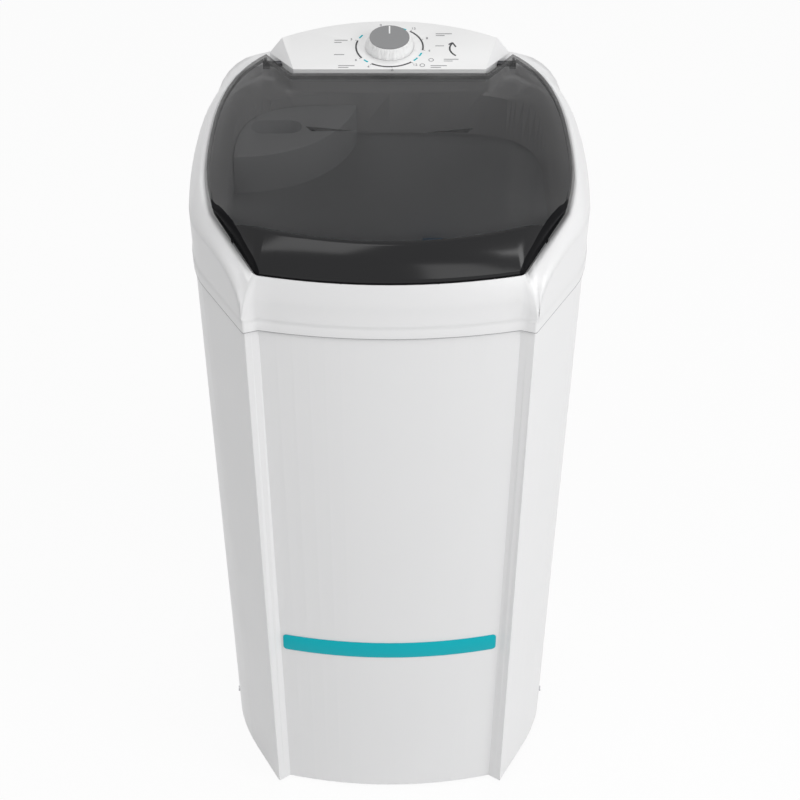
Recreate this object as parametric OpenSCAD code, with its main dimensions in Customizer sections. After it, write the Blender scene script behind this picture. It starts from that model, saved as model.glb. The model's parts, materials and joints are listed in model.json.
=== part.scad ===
// Top-loading washing machine with a tapered moulded cabinet.
// Origin at the middle of the footprint on the floor, front towards -Y, up is +Z.
// Plan points are [half width, distance behind the front]; heights are from the floor.

/* [Overall] */
// Widest width of the top deck
body_w = 515; // [495:1:560]
// Depth from the front skirt to the back of the deck
body_d = 556; // [540:1:600]
// Height of the console's back edge over the floor
body_h = 951; // [900:1:1000]

/* [Cabinet] */
// Gap between the cabinet's lower edge and the floor
cab_gap = 4; // [3:0.5:7]
// Wall of the cabinet moulding
cab_wall = 3; // [2.4:0.2:4]
// How far each side draws in between the deck and the floor
side_draft = 30; // [20:1:36]
// How far the front draws in between the deck and the floor
front_draft = 16; // [10:1:22]
// How far the back draws in between the deck and the floor
back_draft = 26; // [16:1:32]
// Distance from each end of the colour strip to the panel's corner
band_end = 3; // [2.5:0.5:20]
// Height of the colour strip
band_h = 27; // [20:1:34]
// Height of the colour strip's middle over the floor
band_z = 276; // [240:1:320]
// Thickness of the colour strip
band_t = 1; // [0.8:0.1:1.6]
// Height of the base frame's ring
frame_h = 22; // [18:1:28]
// Width of the base frame's ring
frame_w = 34; // [32:1:40]
// Radius of a foot
foot_r = 15; // [12:0.5:16]
// Height of a foot
foot_h = 8; // [7.5:0.5:12]

/* [Back wall] */
// Width of the service opening
hatch_w = 240; // [200:5:260]
// Height of the service opening
hatch_h = 230; // [180:5:240]
// Height of the opening's lower edge over the floor
hatch_z = 150; // [140:5:170]
// How far the cover laps over the wall all round
hatch_lap = 14; // [12:1:16]
// Thickness of the cover
cover_t = 2.5; // [2:0.1:3.5]
// Radius of the drain outlet's spigot
spigot_r = 11; // [9:0.5:12]
// Radius of the drain outlet's bore
spigot_bore = 8.5; // [7:0.25:8.75]
// Radius of the hole for the mains lead
lead_hole_r = 4; // [3.5:0.25:5]

/* [Deck] */
// Height of the skirt that laps over the cabinet
skirt_h = 13; // [10:1:16]
// Wall of the deck moulding
deck_wall = 3; // [2.4:0.2:3.6]
// Distance from the skirt's outer face in to the cabinet's outer face
skirt_step = 2.5; // [2.3:0.1:3.2]
// How far the front apron is set back above the skirt
apron_step = 3; // [2:0.5:4]
// How far the deck's sides are set back above the skirt
side_step = 1.2; // [0.8:0.1:1.8]
// Depth of the recess that the lid lies in
recess_h = 12; // [10:1:14]
// Gap between lid and deck all round
lid_gap = 3; // [2.5:0.5:4]
// Distance from the deck's side to the mouth above the tub
mouth_side = 52.5; // [51:0.5:60]
// Distance from the front to the mouth
mouth_front = 39; // [37:1:46]

/* [Lid] */
// Thickness of the lid moulding
lid_t = 2.6; // [2:0.2:3.2]
// Depth of the lid's down-turned rim
lid_rim = 8; // [6:1:9]
// Width of the lid's flat border
lid_border = 11; // [9:1:14]
// Height of the bevel round the window
lid_bevel = 3; // [2:0.5:4]
// Radius of the hinge pins
pin_r = 4; // [3:0.5:4.5]

/* [Tub] */
// Wall of the tub
tub_wall = 3; // [2.4:0.2:4]
// Height of the tub floor over the floor of the room
tub_floor = 352; // [345:1:380]
// How much narrower the tub's floor is than the mouth, on each side
tub_draw = 20; // [16:1:28]
// Radius of the drain hole in the tub floor
drain_r = 17; // [14:0.5:20]
// Radius of the detergent tray's curved front
tray_r = 155; // [140:1:160]
// Height of the detergent tray
tray_h = 55; // [45:1:65]
// Width of the lint filter
filter_w = 60; // [50:1:70]
// Height of the lint filter
filter_h = 200; // [160:5:220]

/* [Drive] */
// Radius of the pulsator
pulsator_r = 145; // [130:1:152]
// Radius of the pulsator's shaft
shaft_r = 6; // [5:0.5:7]
// Radius of the large pulley
big_r = 80; // [72:1:84]
// Radius of the motor pulley
small_r = 22; // [19:1:24]
// Distance from the pulsator's shaft to the motor's shaft
belt_span = 112; // [110:1:120]
// Radius of the motor's stator
stator_r = 60; // [54:1:62]
// Height of the stator pack
stator_h = 44; // [36:1:50]
// Radius of the rotor
rotor_r = 30; // [26:1:32]
// Radius of the motor's shaft
rotor_shaft_r = 5; // [4:0.5:6]

/* [Controls] */
// Depth of the console
console_depth = 109.5; // [105:0.5:112]
// Tilt of the control panel
panel_tilt = 7; // [5:0.5:9]
// Thickness of the control panel
panel_t = 2; // [1.6:0.1:2.6]
// Wall of the console housing
console_wall = 2.5; // [2:0.1:3]
// Radius of the knob's fluted skirt
knob_r = 33.5; // [28:0.5:35]
// Radius of the knob's grey top disc
knob_cap_r = 27; // [22:0.5:28]
// Height of the knob over the panel
knob_h = 16; // [13:0.5:20]
// Outer radius of the printed ring round the knob
dial_r = 46.5; // [40:0.5:47]
// Width of the printed ring
dial_w = 2.2; // [1.5:0.1:3]
// Radius of the timer's shaft
timer_shaft_r = 3; // [2.5:0.25:3.5]
// Radius of the timer's body
timer_r = 24; // [20:1:26]

/* [Hidden] */
$fn = 64;

// Clearances
fit = 0.3;        // between pieces that sit beside each other
run = 0.04;       // radial, between a shaft and its bearing
snug = 0.02;      // radial, between a shaft and a hub fixed on it
far = 1200;       // longer than the machine, for cutting

// Screws of the moulded pieces
screw_r = 2;
screw_head_r = 4;
screw_head_h = 2;

// Heights over the floor
skirt_z = body_h - 141;
ledge_z = skirt_z + skirt_h;
rest_z = ledge_z - 1;             // where the deck sits on the cabinet's top edge
crest_z = body_h - 66;            // crease between the deck's side and its shoulder
apron_z = body_h - 101;
shelf_z = body_h - 33;            // flat shelf under the console
lip_z = body_h - 105;             // lower edge of the deck's drip lip
flange_z = lip_z + 4;             // underside of the tub's flange
flange_t = 3;
plan_ref = crest_z;               // the height at which the plan has its full size

half_w = body_w / 2;
function fy(d) = d - body_d / 2;

// Curves and lists
function lerp(a, b, t) = a + (b - a) * t;
function bez(a, b, c, n) =
    [for (i = [1:n]) let (t = i / n) a * (1 - t) * (1 - t) + b * 2 * t * (1 - t) + c * t * t];
function line(a, b, n) = [for (i = [1:n]) lerp(a, b, i / n)];
function unit(v) = v / norm(v);
function place(p) = len(p) == 3 ? [p[0], fy(p[1]), p[2]] : [p[0], fy(p[1])];
function mirrored(p) = len(p) == 3 ? [-p[0], p[1], p[2]] : [-p[0], p[1]];

// A closed outline from its right half, which runs from the back's middle to the front's
function both_sides(h) =
    let (n = len(h) - 1)
    concat([for (p = h) mirrored(place(p))], [for (i = [1:n - 1]) place(h[n - i])]);
function both_values(h) = let (n = len(h) - 1) concat(h, [for (i = [1:n - 1]) h[n - i]]);

// An outline moved inwards in plan by t, or by one value for each point, its corners kept sharp
function inset(p, t) =
    let (n = len(p))
    [for (i = [0:n - 1])
        let (a = p[(i + n - 1) % n], b = p[i], c = p[(i + 1) % n],
             u = unit([a[1] - b[1], b[0] - a[0]]),
             v = unit([b[1] - c[1], c[0] - b[0]]),
             s = (is_list(t) ? t[i] : t) / (1 + u * v),
             q = [b[0] + s * (u[0] + v[0]), b[1] + s * (u[1] + v[1])])
        len(b) == 3 ? [q[0], q[1], b[2]] : q];
function lift(p, z) = [for (q = p) [q[0], q[1], z]];
function raise(p, dz) = [for (q = p) [q[0], q[1], q[2] + dz]];
function heights(p, h) = [for (i = [0:len(p) - 1]) [p[i][0], p[i][1], h[i]]];
function mix(a, b, w) = [for (i = [0:len(a) - 1]) lerp(a[i], b[i], is_list(w) ? w[i] : w)];
function z_of(p) = [for (q = p) q[2]];
function flat(p) = [for (q = p) [q[0], q[1]]];

// A solid through a stack of rings; a closed stack joins its last ring to its first
module loft(rings, closed = false) {
    n = len(rings[0]);
    m = len(rings);
    points = [for (r = rings) each r];
    walls = [for (k = [0:(closed ? m - 1 : m - 2)]) for (i = [0:n - 1])
        let (a = k * n + i, b = k * n + (i + 1) % n,
             c = ((k + 1) % m) * n + (i + 1) % n, d = ((k + 1) % m) * n + i)
        each [[a, d, c], [a, c, b]]];
    caps = closed ? [] : [[for (i = [0:n - 1]) i], [for (i = [0:n - 1]) m * n - 1 - i]];
    polyhedron(points, concat(walls, caps), convexity = 8);
}
module rounded(w, h, r) {
    square([w - 2 * r, h], center = true);
    square([w, h - 2 * r], center = true);
    for (x = [-1, 1], y = [-1, 1]) translate([x * (w / 2 - r), y * (h / 2 - r)]) circle(r);
}
module tube(r_out, r_in, h) {
    difference() {
        cylinder(r = r_out, h = h);
        translate([0, 0, -1]) cylinder(r = r_in, h = h + 2);
    }
}
// A screw along Z, its head on top of z = 0 and its shank l long below it
module screw(l, r = screw_r, head_r = screw_head_r, head_h = screw_head_h) {
    cylinder(r = head_r, h = head_h);
    translate([0, 0, -l]) cylinder(r = r, h = l + 0.5);
}

// Steps in each stretch of the plan, the same for the cabinet, the deck and the lid
n_back = 6;
n_corner = 6;
n_quarter = 5;
n_side = 7;
n_bend = 4;
n_arm = 7;
n_ridge = 3;
n_strip = 2;
n_front = 8;
corner_i = n_back + n_corner;
bend_i = corner_i + n_quarter + n_side;
arm_i = bend_i + n_bend;
ridge_i = arm_i + n_arm;
strip_i = ridge_i + n_ridge;
joint_i = strip_i + n_strip;
last_i = joint_i + n_front;
notch_i = 3;                                  // where the lid's back edge turns to its hinge ear
tip_i = notch_i + 4;                          // where the ear ends

// Plan of the deck and the cabinet at the height z, as its right half
function draft(z) = 1 - z / plan_ref;
function wall_half(z) =
    let (k = draft(z), w = half_w - side_draft * k, f = front_draft * k,
         b = body_d - back_draft * k,
         back = [0, b],
         back_c = [97 - 9 * k, b],
         corner = [w - 92.5 + 11 * k, b - 26 + 2 * k],
         corner_c = [w - 35.5 + 6 * k, b - 48 + 2 * k],
         quarter = [w - 20.5 + 2 * k, b - 104 + 5 * k],
         quarter_c = [w - 5.5 + k, b - 151 + 14 * k],
         side = [w - 1.5, b - 230 + 17 * k],
         side_c = [w + 2 + k, 253 - 52 * k],
         bend = [w - 3 - 3.5 * k, 178 - 18 * k],
         bend_c = [w - 7 - 7.5 * k, 140 - 14 * k],
         arm = [w - 19.5 - 12 * k, 117 - 24 * k],
         ridge = [w - 75.5 + 8 * k, 13 + f * 0.6],
         joint = [w - 94.5 + 10 * k, 19 + f],
         ridge_in = ridge + 3 * unit(arm - ridge),
         ridge_out = ridge + 3 * unit(joint - ridge))
    concat([back], bez(back, back_c, corner, n_back), bez(corner, corner_c, quarter, n_corner),
           bez(quarter, quarter_c, side, n_quarter), bez(side, side_c, bend, n_side),
           bez(bend, bend_c, arm, n_bend),
           [for (i = [1:n_arm]) lerp(arm, ridge_in, 1 - pow(1 - i / n_arm, 2))],
           bez(ridge_in, ridge, ridge_out, n_ridge), line(ridge_out, joint, n_strip),
           [for (i = [1:n_front]) let (x = joint[0] * (1 - i / n_front))
               [x, f + (joint[1] - f) * pow(x / joint[0], 2)]]);
function wall_plan(z, t = 0) = inset(both_sides(wall_half(z)), t);
function wall_ring(z, t = 0) = lift(wall_plan(z, t), z);
module wall_shell(z0, z1, t_out, t_in) {
    loft([wall_ring(z0, t_out), wall_ring(z1, t_out),
          wall_ring(z1, t_in), wall_ring(z0, t_in)], closed = true);
}
cab_out = skirt_step;
cab_in = cab_out + cab_wall;

// Depths of the console, the hinge and the mouth, worked out from the back
console_back = body_d - 5;
panel_d = console_back - console_depth;
hinge_d = panel_d + 32.5;
mouth_back = panel_d - 10.5;
mouth_mid = (mouth_front + mouth_back) / 2;
mouth_a = half_w - mouth_side;
mouth_b = (mouth_back - mouth_front) / 2;
tub_a = mouth_a - tub_draw;
tub_b = mouth_b - 8;

// Where the cabinet's outer face lies, x to the side of the middle or y from the middle
function cross_at(p, x, i, j) = let (n = len(p)) max([for (k = [0:n - 1])
    let (a = p[k], b = p[(k + 1) % n])
    ((a[i] - x) * (b[i] - x) <= 0 && a[i] != b[i])
        ? lerp(a[j], b[j], (x - a[i]) / (b[i] - a[i])) : -far]);
function back_at(x, z) = cross_at(wall_plan(z, cab_out), x, 0, 1);
function side_at(y, z) = cross_at(wall_plan(z, cab_out), y, 1, 0);

// Places a piece on the cabinet's outer face, with +Z pointing away from the wall
module on_back(x, z) {
    turn = atan2(back_at(x + 4, z) - back_at(x - 4, z), 8);
    translate([x, back_at(x, z), z]) rotate([0, 0, turn]) rotate([-90, 0, 0]) children();
}
module through_back(p) {
    translate([p[0], back_at(p[0], p[1]), p[1]]) rotate([-90, 0, 0]) children();
}
module on_side(s, y, z) {
    translate([s * side_at(y, z), y, z]) rotate([0, s * 90, 0]) children();
}
// A rounded window along Y, from y0 to y1
module window(w, h, z, r, y0, y1) {
    translate([0, y1, z]) rotate([90, 0, 0]) linear_extrude(y1 - y0) rounded(w, h, r);
}

// Places on the cabinet
hatch_mid = hatch_z + hatch_h / 2;
hatch_bolts = [for (s = [-1, 1], k = [-1, 0, 1])
    [s * (hatch_w + hatch_lap) / 2, hatch_mid + k * (hatch_h / 2 - 12)]];
beam_places = [200, body_d - 176];
base_bolts = [for (s = [-1, 1], d = beam_places) [s, fy(d)]];
base_bolt_z = foot_h + frame_h / 2;
deck_bolt_x = [-120, 0, 120];
deck_bolt_z = skirt_z + 6;
outlet = [-60, 95];
gland = [60, 95];
gland_r = lead_hole_r + 4;
gland_in = 16;    // how far it reaches in from the wall's outer face
gland_out = 10;

module cabinet() {
    color("white") difference() {
        wall_shell(cab_gap, rest_z, cab_out, cab_in);
        window(hatch_w, hatch_h, hatch_mid, 12, 100, far);
        for (p = hatch_bolts) on_back(p[0], p[1])
            cylinder(r = screw_r + snug, h = 40, center = true);
        for (x = deck_bolt_x) on_back(x, deck_bolt_z)
            cylinder(r = screw_r + snug, h = 40, center = true);
        for (p = base_bolts) on_side(p[0], p[1], base_bolt_z)
            cylinder(r = screw_r + snug, h = 40, center = true);
        through_back(outlet) cylinder(r = spigot_r + fit, h = 40, center = true);
        through_back(gland) cylinder(r = gland_r + fit, h = 40, center = true);
    }
}

// Colour strip stuck along the front panel
module front_band() {
    face = cab_out - fit * 2 / 3;
    color([0.05, 0.71, 0.76]) intersection() {
        wall_shell(band_z - band_h, band_z + band_h, face - band_t, face);
        window(2 * (wall_half(band_z)[joint_i][0] - band_end), band_h, band_z, 5, -far, -100);
    }
}

// Base frame inside the cabinet's lower edge, with two cross beams
foot_places = [for (x = [-1, 1], d = [52, body_d - 70]) [x * (half_w - 139.5), d]];
frame_out = cab_in + fit;
module frame_plan(t) {
    offset(delta = -t) polygon(wall_plan(foot_h));
}
module base_frame() {
    beam_d = 30;
    color("dimgray") difference() {
        union() {
            translate([0, 0, foot_h]) linear_extrude(frame_h) difference() {
                frame_plan(frame_out);
                frame_plan(frame_out + frame_w);
            }
            for (d = beam_places) let (x = side_at(fy(d), foot_h) - cab_wall - fit - frame_w / 2)
                translate([-x, fy(d) - beam_d / 2, foot_h]) cube([2 * x, beam_d, frame_h]);
        }
        for (p = base_bolts) on_side(p[0], p[1], base_bolt_z)
            cylinder(r = screw_r + snug, h = 50, center = true);
    }
}
module feet() {
    color("black") for (p = foot_places) translate([p[0], fy(p[1]), 0])
        cylinder(r = foot_r, h = foot_h);
}
module base_screws() {
    color("silver") for (p = base_bolts) on_side(p[0], p[1], base_bolt_z)
        translate([0, 0, 2 * fit]) screw(20);
}

// Service cover on the back
module back_cover() {
    face = cab_out - fit;
    color("white") difference() {
        intersection() {
            wall_shell(hatch_z - 2 * hatch_lap, hatch_z + hatch_h + 2 * hatch_lap,
                       face - cover_t, face);
            window(hatch_w + 2 * hatch_lap, hatch_h + 2 * hatch_lap, hatch_mid, 14, 100, far);
        }
        for (p = hatch_bolts) on_back(p[0], p[1])
            cylinder(r = screw_r + snug, h = 40, center = true);
    }
}
module back_cover_screws() {
    color("silver") for (p = hatch_bolts) on_back(p[0], p[1])
        translate([0, 0, fit + cover_t + fit]) screw(12);
}

// Outline of the lid's edge, with the height of its upper edge
function lid_half() =
    let (rear = panel_d - 3.5, w = half_w, middle = [0, rear, body_h - 17],
         notch = [131.5, rear, body_h - 17], tip = [167, hinge_d + 15, body_h - 16],
         side = [w - 29.5, mouth_mid + 100, body_h - 23], waist = [w - 26, mouth_mid - 20, body_h - 26.5],
         cut = [w - 38.5, 137, body_h - 39], cut_end = [w - 92, 38, body_h - 60.5],
         nose = [w - 99, 32, body_h - 60.5])
    concat([middle], line(middle, notch, notch_i), line(notch, tip, tip_i - notch_i),
           bez(tip, [w - 39.5, hinge_d - 29, body_h - 20], side, corner_i + n_quarter - tip_i),
           bez(side, [w - 24, mouth_mid + 35, body_h - 24], waist, n_side),
           bez(waist, [w - 27.5, 175, body_h - 32], cut, n_bend),
           line(cut, cut_end, n_arm),
           bez(cut_end, [w - 94.2, 33.2, body_h - 61], nose, n_ridge + n_strip),
           [for (i = [1:n_front]) let (x = nose[0] * (1 - i / n_front), t = pow(x / nose[0], 2))
               [x, 8 + 24 * t, body_h - 58 - 2.5 * t]]);
lid_edge = both_sides(lid_half());

// One value for each point of an outline, from one for each stretch
function by_index(f) = both_values([for (i = [0:last_i]) f(i)]);
front_part = by_index(function (i) i >= joint_i ? 1 : i <= ridge_i ? 0 :
    (i - ridge_i) / (joint_i - ridge_i));
function fade(i, from, to) = i <= from ? 1 : i >= to ? 0 : (to - i) / (to - from);
back_part = by_index(function (i) fade(i, tip_i + 1, corner_i));
shelf_part = by_index(function (i) fade(i, tip_i + 1, tip_i + 4));
ear_part = by_index(function (i) fade(i, tip_i + 2, tip_i + 6));
arm_height = by_index(function (i)
    i <= n_back ? shelf_z - 4 :
    i <= corner_i ? lerp(shelf_z - 4, crest_z, pow((i - n_back) / n_corner, 1.5)) :
    i <= arm_i ? crest_z :
    i < ridge_i ? let (s = 1 - (i - arm_i) / n_arm)
        ledge_z + 6 + (crest_z - ledge_z - 6) * pow(1 - pow(1 - s * s, 2.5), 0.4) :
    i <= strip_i ? ledge_z + 6 :
    i < joint_i ? lerp(ledge_z + 6, apron_z, (i - strip_i) / n_strip) : apron_z);

// Rings of the deck, from the skirt up and over to the mouth above the tub
function set_back(z) = mix(wall_plan(z, side_step), wall_plan(z, apron_step), front_part);
crest = heights(lift(set_back(crest_z), 0), arm_height);
rim_z = mix(mix([for (q = lid_edge) q[2] - 4], [for (q = lid_edge) q[2] - 7], front_part),
            [for (q = lid_edge) shelf_z], shelf_part);
rim = heights(mix(inset(lid_edge, -lid_gap), inset(lid_edge, -lid_gap / 2), front_part), rim_z);
bulge = heights(mix(mix(crest, rim, 0.2), mix(crest, rim, 0.3), front_part),
                mix(z_of(crest), z_of(rim), 0.6));
function shoulder(t) = mix(mix(mix(crest, bulge, t), mix(bulge, rim, t), t),
    mix(lift(wall_plan(shelf_z, side_step + 4), shelf_z), lift(rim, shelf_z), (t - 0.25) / 0.75),
    back_part);
mouth_power = 4.5;
function oval(dir, a, b, n) =
    1 / pow(pow(abs(dir[0]) / a, n) + pow(abs(dir[1]) / b, n), 1 / n);
// Turn of each of the mouth's points from the back, evened out beside the hinge ear
mouth_turn = let (a = [for (i = [0:last_i]) atan2(-rim[i][0], rim[i][1] - fy(mouth_mid))],
    end = tip_i + 4)
    both_values([for (i = [0:last_i]) i < notch_i || i > end ? a[i] :
        lerp(a[notch_i], a[end], (i - notch_i) / (end - notch_i))]);
function mouth(t) = [for (k = [0:len(rim) - 1])
    let (v = [(k > last_i ? 1 : -1) * sin(mouth_turn[k]), cos(mouth_turn[k])],
         r = oval(v, mouth_a + t, mouth_b + t, mouth_power)) [r * v[0], fy(mouth_mid) + r * v[1]]];
recess_z = mix([for (q = rim) q[2] - recess_h], [for (q = rim) shelf_z - recess_h], ear_part);
under_rim = mix(inset(rim, -deck_wall), inset(rim, deck_wall), front_part);
// Posts for the tub's screws: each one's angle round the mouth, and how far its top is under body_h
post_out = 16;
deck_posts = [for (p = [[0, 44], [34, 39], [56, 46], [90, 46], [124, 46], [146, 39], [180, 44],
                        [237, 78], [303, 78]])
    let (v = [cos(p[0]), sin(p[0])], r = oval(v, mouth_a, mouth_b, mouth_power) + post_out)
    [r * v[0], fy(mouth_mid) + r * v[1], body_h - p[1]]];

module top_deck() {
    color("white") difference() {
        union() {
            loft([wall_ring(skirt_z), wall_ring(ledge_z), lift(set_back(ledge_z + 3), ledge_z + 3),
                  crest, shoulder(0.25), shoulder(0.5), shoulder(0.75), rim,
                  heights(lift(flat(rim), 0), recess_z), heights(lift(mouth(0), 0), recess_z),
                  lift(mouth(-1), lip_z),
                  lift(mouth(-1 + deck_wall), lip_z),
                  raise(heights(lift(mouth(deck_wall), 0), recess_z), -deck_wall),
                  raise(heights(under_rim, recess_z), -deck_wall),
                  heights(under_rim, mix([for (q = rim) q[2] - deck_wall - 1],
                                         [for (z = recess_z) z - 8], front_part)),
                  raise(mix(shoulder(0.5), mix(crest, under_rim, 0.5), front_part), -deck_wall - 1),
                  raise(inset(crest, deck_wall), -deck_wall),
                  wall_ring(rest_z, cab_in + 1), wall_ring(rest_z, cab_out - fit),
                  wall_ring(skirt_z, cab_out - fit)], closed = true);
            for (p = deck_posts) translate([p[0], p[1], flange_z + flange_t])
                cylinder(r = 5, h = p[2] - flange_z - flange_t);
        }
        for (p = deck_posts) translate([p[0], p[1], 0])
            cylinder(r = screw_r + snug, h = flange_z + 16);
        for (x = deck_bolt_x) on_back(x, deck_bolt_z)
            cylinder(r = screw_r + snug, h = 14, center = true);
        on_panel(0) translate([0, 0, -60]) cylinder(r = timer_r + 3, h = 80);
        for (p = console_bolts) translate([p[0], fy(p[1]), shelf_z - 10])
            cylinder(r = screw_r + snug, h = 20);
    }
}
module deck_screws() {
    color("silver") for (x = deck_bolt_x) on_back(x, deck_bolt_z)
        translate([0, 0, skirt_step + fit]) screw(10);
}

// Tub: an oval that narrows towards its floor, with a flange under the deck
tub_top = flange_z + flange_t;
n_tub = 72;
tub_round = 22;
tub_lap = 7;
hub_r = 19;
function tub_ring(z, t) =
    let (k = (z - tub_floor) / (tub_top - tub_floor), a = lerp(tub_a, mouth_a + tub_lap, k) + t,
         b = lerp(tub_b, mouth_b + tub_lap, k) + t, n = lerp(3.4, mouth_power, k))
    [for (i = [0:n_tub - 1]) let (v = [cos(90 + i * 360 / n_tub), sin(90 + i * 360 / n_tub)],
        r = oval(v, a, b, n)) [r * v[0], fy(mouth_mid) + r * v[1], z]];
function round_ring(r, z) = [for (i = [0:n_tub - 1]) let (w = 90 + i * 360 / n_tub)
    [r * cos(w), fy(mouth_mid) + r * sin(w), z]];
well_r = pulsator_r + 8;
well_h = 10;
module tub() {
    w = tub_wall;
    low = tub_floor - w;
    color([0.93, 0.94, 0.95]) difference() {
        union() {
            intersection() {
                tub_shell();
                linear_extrude(far) offset(r = 5) offset(delta = -5)
                    polygon(wall_plan(flange_z, apron_step + deck_wall + 3));
            }
            intersection() {
                for (p = deck_posts) translate([p[0], p[1], flange_z]) cylinder(r = 7, h = flange_t);
                linear_extrude(far) polygon(wall_plan(flange_z, apron_step + deck_wall + 1.5));
            }
        }
        drive_at() cylinder(r = hub_r, h = far);
        translate([drain_at[0], drain_at[1], low - 20]) cylinder(r = drain_r, h = 40);
        for (p = deck_posts) translate([p[0], p[1], flange_z - 1])
            cylinder(r = screw_r + snug, h = flange_t + 2);
        for (p = mount_places) translate([p[0], p[1], plate_top])
            cylinder(r = bolt_r + snug, h = bush_h + 9.5);
        for (a = housing_angles) drive_at() rotate([0, 0, a])
            translate([housing_bolt_r, 0, flange_top - 1]) cylinder(r = screw_r + snug, h = 9);
    }
}
module tub_shell() {
    w = tub_wall;
    low = tub_floor - w;
    loft([round_ring(hub_r - 4, low - well_h), round_ring(well_r + w, low - well_h),
          round_ring(well_r + w, low), lift(tub_ring(tub_floor, w - tub_round), low),
          lift(tub_ring(tub_floor, w - tub_round * 0.3), tub_floor + tub_round * 0.3 - w),
          tub_ring(tub_floor + tub_round, w), tub_ring(flange_z, w), tub_ring(flange_z, 22),
          tub_ring(tub_top, 22), tub_ring(tub_top, 0), tub_ring(tub_floor + tub_round, 0),
          lift(tub_ring(tub_floor, -tub_round * 0.3), tub_floor + tub_round * 0.3),
          lift(tub_ring(tub_floor, -tub_round), tub_floor),
          round_ring(well_r, tub_floor), round_ring(well_r - 2, tub_floor - well_h),
          round_ring(hub_r - 4, tub_floor - well_h)], closed = true);
    for (p = mount_places) translate([p[0], p[1], plate_top + bush_h])
        cylinder(r = 9, h = mount_roof(p) - plate_top - bush_h + 1);
    for (p = mount_places) let (c = [0, fy(mouth_mid)], q = [p[0], p[1]]) if (norm(q - c) > well_r)
        hull() for (v = [q, c + (well_r + w / 2) * unit(q - c)])
            translate([v[0], v[1], low - well_h]) cylinder(r = 3, h = well_h + 1);
    for (a = housing_angles) drive_at() rotate([0, 0, a])
        translate([housing_bolt_r, 0, flange_top])
            cylinder(r = 5, h = low - well_h - flange_top + 1);
}
module tub_seal() {
    low = lip_z + 1;
    top = tub_top + 3;
    outer = mouth(tub_lap - 4 * fit);
    inner = mouth(deck_wall - 1 + 2 * fit);
    color("dimgray") loft([lift(outer, low), lift(outer, top), lift(inner, top), lift(inner, low)],
        closed = true);
}
module tub_screws() {
    color("silver") for (p = deck_posts) translate([p[0], p[1], flange_z])
        rotate([180, 0, 0]) screw(15);
}

// Detergent tray in the mouth's back left corner
tray_mid = [7 - mouth_a, fy(mouth_back + 19)];
tray_top = body_h - 61;
tray_pocket = [55 - mouth_a, fy(mouth_back - 59)];
module tray_plan(t) {
    intersection() {
        translate(tray_mid) circle(tray_r - t);
        polygon(mouth(-1 - fit - t));
    }
}
module detergent_tray() {
    wall = 2.5;
    color("white") difference() {
        translate([0, 0, tray_top - tray_h]) linear_extrude(tray_h) tray_plan(0);
        difference() {
            translate([0, 0, tray_top - tray_h - 1]) linear_extrude(tray_h + 1 - wall) tray_plan(wall);
            translate([tray_pocket[0], tray_pocket[1], tray_top - 42]) linear_extrude(50)
                rounded(66 + 2 * wall, 34 + 2 * wall, 16 + wall);
        }
        translate([tray_pocket[0], tray_pocket[1], tray_top - 40]) linear_extrude(50)
            rounded(66, 34, 16);
    }
}

// Lint filter: a channel on the tub's back wall and a mesh insert that lifts out of it
filter_x = 60;
filter_z = tub_floor + 118;
filter_d = 12;
channel_w = filter_w + 2 * (3 + fit);
function tub_back(x, z) = cross_at(tub_ring(z, 0), x, 0, 1);
channel_y = tub_back(filter_x + channel_w / 2, filter_z) - fit;
module filter_frame() {
    depth = filter_d + 2 * fit + 4;
    color("white") translate([filter_x - channel_w / 2, channel_y - depth, filter_z]) difference() {
        cube([channel_w, depth, filter_h]);
        translate([3, 2, 3]) cube([filter_w + 2 * fit, filter_d + 2 * fit, filter_h]);
        translate([9, -1, 12]) cube([filter_w - 12 + 2 * fit, depth, filter_h]);
    }
}
module lint_filter() {
    rows = 11;
    cols = 4;
    cell = [(filter_w - 8) / cols, (filter_h - 10) / rows];
    color([0.3, 0.5, 0.75])
    translate([filter_x - filter_w / 2, channel_y - 2 - fit - filter_d, filter_z + 3 + fit])
    difference() {
        union() {
            cube([filter_w, filter_d, filter_h - 4]);
            translate([filter_w / 2 - 14, 4, 0]) cube([28, 4, filter_h + 12]);
        }
        translate([4, -1, 4]) cube([filter_w - 8, filter_d - 1, filter_h - 12]);
        for (i = [0:cols - 1], j = [0:rows - 1])
            translate([5 + i * cell[0], 0, 5 + j * cell[1] * 0.97])
                cube([cell[0] - 2, filter_d + 2, cell[1] - 3]);
    }
}

// Drive
low_z = tub_floor - tub_wall - well_h;         // underside of the well under the pulsator
flange_top = low_z - 8;                        // top of the bearing housing's flange
flange_h = 6;
housing_r = 16;
housing_bottom = low_z - 114;
housing_bolt_r = 36;
housing_angles = [0, 60, 120, 180, 240, 300];
bush_r = shaft_r + 4;
bush_l = 22;
seal_r = 15;
belt_z = low_z - 131;                          // middle of the belt
pulley_h = 16;
motor_d = mouth_mid + belt_span;
bolt_r = 3;
bush_h = 7;
plate_t = 3;
plate_top = low_z - 17;
plate_reach = 52;
mount_places = [for (x = [-1, 1], y = [-1, 1])
    [x * plate_reach, fy(motor_d) + y * plate_reach]];
function mount_roof(p) =
    norm([p[0], p[1] - fy(mouth_mid)]) < well_r ? low_z : tub_floor - tub_wall;
module drive_at() { translate([0, fy(mouth_mid), 0]) children(); }
module motor_at() { translate([0, fy(motor_d), 0]) children(); }

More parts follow.
